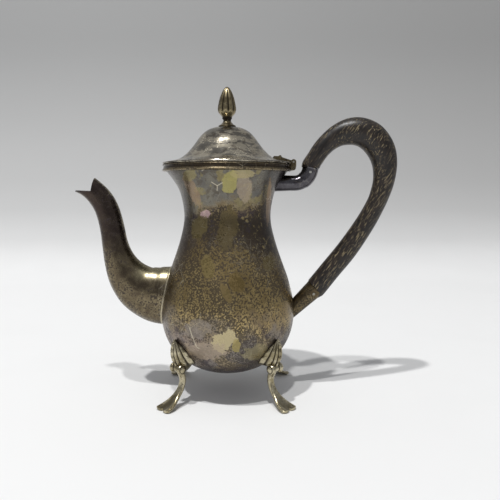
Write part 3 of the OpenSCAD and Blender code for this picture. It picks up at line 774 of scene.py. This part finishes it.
# %% Plainer silver for lid, spout, moulding, sockets and castings
def silver(name, light, dark, soot, cover, scale=1.0, rough=0.3, extra=None):
    """Ground between two tones, crisp dark grains over a share of the surface, soot in the hollows, scratches,
    and a soft uneven shine. extra(p, tone) may paint more before the scratches."""
    mat, shader, p = new_material(name)
    big, mid = p.noise(42 * scale, 3), p.noise(130 * scale, 4, 0.6, 0.8)
    grit = p.noise(820, 2, 0.6) * 0.65 + p.noise(380, 2, 0.55, 1.2) * 0.35
    ground = (big * 0.5 + mid * 0.5).step(0.38, 0.62).mix(srgb(*dark), srgb(*light))
    share = cover + (big - 0.5) * 0.5 + (mid - 0.5) * 0.5
    speck = ((grit - (1 - share)) * 18).clamp()
    tone = (speck * 0.8).mix(ground, srgb(*soot))
    kept = p.node("ShaderNodeAttribute", {"attribute_name": "hollow"}, out=2)
    sunk = kept.step(0.15, 0.85) * (0.75 + mid * 0.4)
    tone = sunk.mix(tone, srgb(40, 33, 27))
    if extra:
        tone = extra(p, tone)
    lines = scratches(p, 140, 0.010)
    solder = (kept * -1).step(0.1, 0.6)
    tone = (lines * 0.7 + solder * 0.6).mix(tone, srgb(206, 196, 170))
    connect(shader, Base__Color=tone, Metallic=0.95 - speck * 0.3,
            Roughness=rough + speck * 0.14 + (mid - 0.5) * 0.12 + sunk * 0.2,
            Normal=bumped(p, speck * -0.3 + grit * 0.2 + lines * 0.4, 0.00004))
    return mat


def moulding_bands(p, tone):
    """The hollow between the moulding's beads stays dark brown; the beads keep a thin rubbed line."""
    z = place(p)[2] + (p.noise(160, 3) - 0.5) * 0.8
    dark = z.step(173.6, 174.3) * z.step(176.7, 176.2)
    return (dark * 0.85).mix(tone, srgb(44, 36, 30))


def spout_shades(p, tone):
    """Nearly black toward the beak, purple-brown in the middle, and a rubbed line up the outer edge."""
    x, y, z = place(p)
    drift = (p.noise(60, 3, 0.6) - 0.5) * 40
    high = (z + drift).step(96, 132)
    tone = (high * 0.78).mix(tone, srgb(54, 45, 46))
    # lighter unspeckled metal on top of the root: rubbed wear, and partly a painted highlight that keeps the lamps'
    # streak there unbroken
    tone = (z.step(88, 95) * x.step(-74, -64) * 0.75).mix(tone, srgb(150, 142, 114))
    rubbed = (y + (p.noise(90, 2) - 0.5) * 3).abs().step(3.2, 1.4) * (z + drift * 0.4).step(96, 120)
    return (rubbed * p.noise(400, 3, 0.6).step(0.42, 0.55) * 0.7).mix(tone, srgb(176, 166, 140))


def lid_shades(p, tone):
    """A rubbed clean area round the middle of the dome's front, with brown islands, and a dark flange edge."""
    x, y, z = place(p)
    islands = p.noise(170, 4, 0.65, 0.5)
    streaky = p.node("ShaderNodeMapping", {}, Vector=p, Scale=(1, 1, 3.2)).noise(110, 4, 0.65, 0.4)
    clean = (streaky + z.step(206, 184) * 0.04).step(0.50, 0.54)
    tone = (clean * 0.65).mix(tone, srgb(206, 196, 174))
    tone = (islands.step(0.57, 0.6) * 0.55).mix(tone, srgb(104, 92, 78))
    return (z.step(180.3, 179.0) * 0.5 * islands.step(0.4, 0.6)).mix(tone, srgb(84, 74, 62))


# each finish: light, dark and soot tones, share of grains, and what differs from the rule
finishes = {name: silver(name, light, dark, soot, cover, **rest) for name, light, dark, soot, cover, rest in [
    ("lid_silver", (150, 145, 134), (104, 99, 90), (62, 55, 49), 0.40, dict(rough=0.19, extra=lid_shades)),
    ("spout_silver", (132, 120, 94), (86, 76, 62), (46, 38, 38), 0.47, dict(rough=0.26, extra=spout_shades)),
    ("rim_silver", (146, 132, 104), (98, 86, 68), (44, 37, 31), 0.46, dict(rough=0.28, extra=moulding_bands)),
    ("hinge_silver", (140, 128, 98), (84, 74, 56), (34, 28, 24), 0.5, dict(rough=0.32)),
    ("dark_silver", (92, 90, 94), (58, 55, 58), (34, 30, 30), 0.33, dict(rough=0.22)),
    ("low_arm_silver", (122, 108, 80), (72, 62, 48), (34, 28, 24), 0.5, dict(rough=0.3)),
    ("cast_silver", (196, 187, 160), (140, 130, 102), (72, 61, 44), 0.36, dict(scale=2.0, rough=0.26)),
    ("bud_silver", (154, 142, 112), (108, 97, 74), (58, 49, 37), 0.38, dict(scale=2.0, rough=0.27)),
    ("pin_silver", (190, 188, 180), (140, 136, 126), (70, 64, 56), 0.25, dict(scale=2.0, rough=0.25)),
]}
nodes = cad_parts
for name, things in {
    "lid_silver": [lid, nodes["lid_bezel"]],
    "spout_silver": [spout_piece],
    "rim_silver": [rim],
    "dark_silver": [arm],
    "low_arm_silver": [low],
    "cast_silver": feet,
    "bud_silver": [finial, nodes["finial_stud"], nodes["finial_nut"]],
    "hinge_silver": [nodes["hinge_lid_leaf"], nodes["hinge_body_leaf"]],
    "pin_silver": [nodes["hinge_pin"], nodes["upper_handle_pin"], nodes["lower_handle_pin"]],
}.items():
    for thing in things:
        give(thing, finishes[name])

# %% [markdown]
# ## Dark wood
# The grip is an open-grained, almost black wood. Its pores are long thin slots filled with pale dust. The
# position is turned so that one axis lies along the grain and then squeezed along it: round spots of noise
# become long slots, and where the grip bends across the grain they show as short arcs, as on a real saw cut.

# %% Wood
GRAIN = math.atan2(147.5 - 96.8, 113.4 - 79.5)


def grip_wood():
    mat, shader, p = new_material("grip_wood")
    turned = p.node("ShaderNodeMapping", {}, Vector=p, Rotation=(0.08, GRAIN, 0))

    def stretched(k):
        """The turned position with k as the share of detail left along the grain."""
        return turned.node("ShaderNodeVectorMath", {"operation": "MULTIPLY"}, _0=turned, _1=(k, 1, 1))

    fibres, bands = stretched(0.10).noise(1300, 4, 0.65, 0.2), stretched(0.10).noise(330, 3, 0.6, 0.8)
    slots = stretched(0.10).noise(1500, 2, 0.55, 0.3)
    rings = stretched(0.06).noise(150, 2, 0.5, 0.6)
    pores = slots.step(0.575, 0.615) * (rings * 0.6 + bands * 0.4).step(0.40, 0.55)
    wear = p.noise(55, 3, 0.6)
    tone = (bands * 0.55 + fibres * 0.45).step(0.38, 0.64).mix(srgb(14, 11, 9), srgb(42, 33, 27))
    tone = (wear.step(0.5, 0.68) * 0.3).mix(tone, srgb(58, 48, 40))
    tone = (pores * 0.75).mix(tone, srgb(146, 131, 100))
    connect(shader, Base__Color=tone, Roughness=0.36 + pores * 0.3 + (bands - 0.5) * 0.15, Metallic=0.0,
            Normal=bumped(p, fibres * 0.5 - pores * 0.8 + bands * 0.3, 0.0002))
    shader.inputs["Specular IOR Level"].default_value = 0.4
    shader.inputs["Coat Weight"].default_value = 0.08
    shader.inputs["Coat Roughness"].default_value = 0.3
    return mat


give(grip, grip_wood())

# %% [markdown]
# ## Floor, lamps and camera
# The pot stood on a white sweep: a floor that curves up behind. Two small lamps high on the left front give the
# two crossing shadows, and a soft world fills them. The camera stood close, less than half a metre away, a
# little above the shoulder of the pot, so the far feet almost hide behind the near ones.

# %% Sweep
NEAR_Y, TURN_Y, TURN_R, TOP_Z, HALF_WIDTH = -1.6, 0.5, 0.55, 2.2, 1.1  # metres
depth_line = np.vstack([[(NEAR_Y, 0.0)], arc(TURN_Y, TURN_R, TURN_R, -90, 0, 40), [(TURN_Y + TURN_R, TOP_Z)]])
width_line = np.linspace(-HALF_WIDTH, HALF_WIDTH, 3)
sweep_mesh = bpy.data.meshes.new("sweep")
rows = len(depth_line)
grid = np.stack([np.broadcast_to(width_line, (rows, 3)), np.repeat(depth_line[:, :1], 3, 1),
                 np.repeat(depth_line[:, 1:], 3, 1)], -1)
i, j = np.meshgrid(np.arange(rows - 1), np.arange(2), indexing="ij")
quads = np.stack([i * 3 + j, i * 3 + j + 1, (i + 1) * 3 + j + 1, (i + 1) * 3 + j], -1).reshape(-1, 4)
sweep_mesh.from_pydata(grid.reshape(-1, 3), [], quads)
sweep_mesh.polygons.foreach_set("use_smooth", np.ones(len(quads), bool))
floor = bpy.data.objects.new("sweep", sweep_mesh)
bpy.context.scene.collection.objects.link(floor)
paper_painted_shade, paper_shader, paper_p = new_material("paper_painted_shade")
paper_x, _, paper_z = place(paper_p)
TOP_MM = 500
rise_up = (paper_z + (paper_p.noise(9, 2) - 0.5) * 12) / TOP_MM
painted_shade_stops = [(0, 0.86), (0.06, 0.76), (0.11, 0.65), (0.23, 0.53), (0.36, 0.485), (0.52, 0.465), (0.68, 0.435),
         (1, 0.395)]  # share of TOP_MM, and the colour there: painted shade that darkens the sweep as it rises
# painted shade: the sweep's colour darkens with height, for the light that falls off as it turns up
painted_rise_shade = rise_up.node("ShaderNodeValToRGB", {"stops": [(at, (c, c, c * 0.99)) for at, c in painted_shade_stops]}, _0=rise_up)
# painted shade: darker toward the right and up the sweep, where less light falls
painted_right_shade = (paper_x.step(-500, 700)) * paper_z.step(-100, 250)
connect(paper_shader, Base__Color=(painted_right_shade * 0.4).mix(painted_rise_shade, (0.24, 0.235, 0.23)), Roughness=0.9)
paper_shader.inputs["Specular IOR Level"].default_value = 0.1
give(floor, paper_painted_shade)


# %% Lamps and world
def lamp(name, way, distance, size, power):
    """A square lamp at a distance along a direction from the pot's middle, facing it."""
    data = bpy.data.lights.new(name, "AREA")
    data.size, data.energy = size, power
    thing = bpy.data.objects.new(name, data)
    bpy.context.scene.collection.objects.link(thing)
    way = Vector(way).normalized()
    thing.location = Vector((0, 0, 0.1)) + way * distance
    thing.rotation_euler = way.to_track_quat("Z", "Y").to_euler()
    print(name, "lamp:", power, "W at", distance, "m")


LAMP_AWAY, LAMP_SIZE = 5.0, 0.16  # metres; a far small lamp keeps the shadows' edges firm
lamp("key", (-0.25, -0.37, 1.0), LAMP_AWAY, LAMP_SIZE, 130)
lamp("second", (-0.04, -0.41, 1.0), LAMP_AWAY, LAMP_SIZE, 82.5)
world = bpy.data.worlds.new("studio")
bpy.context.scene.world = world
world.use_nodes = True
world.node_tree.nodes["Background"].inputs["Color"].default_value = (0.93, 0.95, 1.0, 1)
world.node_tree.nodes["Background"].inputs["Strength"].default_value = 0.35
bpy.context.scene.view_settings.view_transform = "Standard"

# %% Camera
CAMERA_X, CAMERA_Y, CAMERA_Z, DROP = AXIS_X + 17.2, -429.0, 158.0, math.radians(6.12)
cam = bpy.data.cameras.new("camera")
cam.sensor_width, cam.lens = 36.0, 40.25
camera = bpy.data.objects.new("camera", cam)
camera.location = (CAMERA_X * MM, CAMERA_Y * MM, CAMERA_Z * MM)
camera.rotation_euler = (math.pi / 2 - DROP, 0, 0)
bpy.context.scene.collection.objects.link(camera)
bpy.context.scene.camera = camera
print("camera:", [round(c, 4) for c in camera.location], "lens", round(cam.lens, 2), "mm")
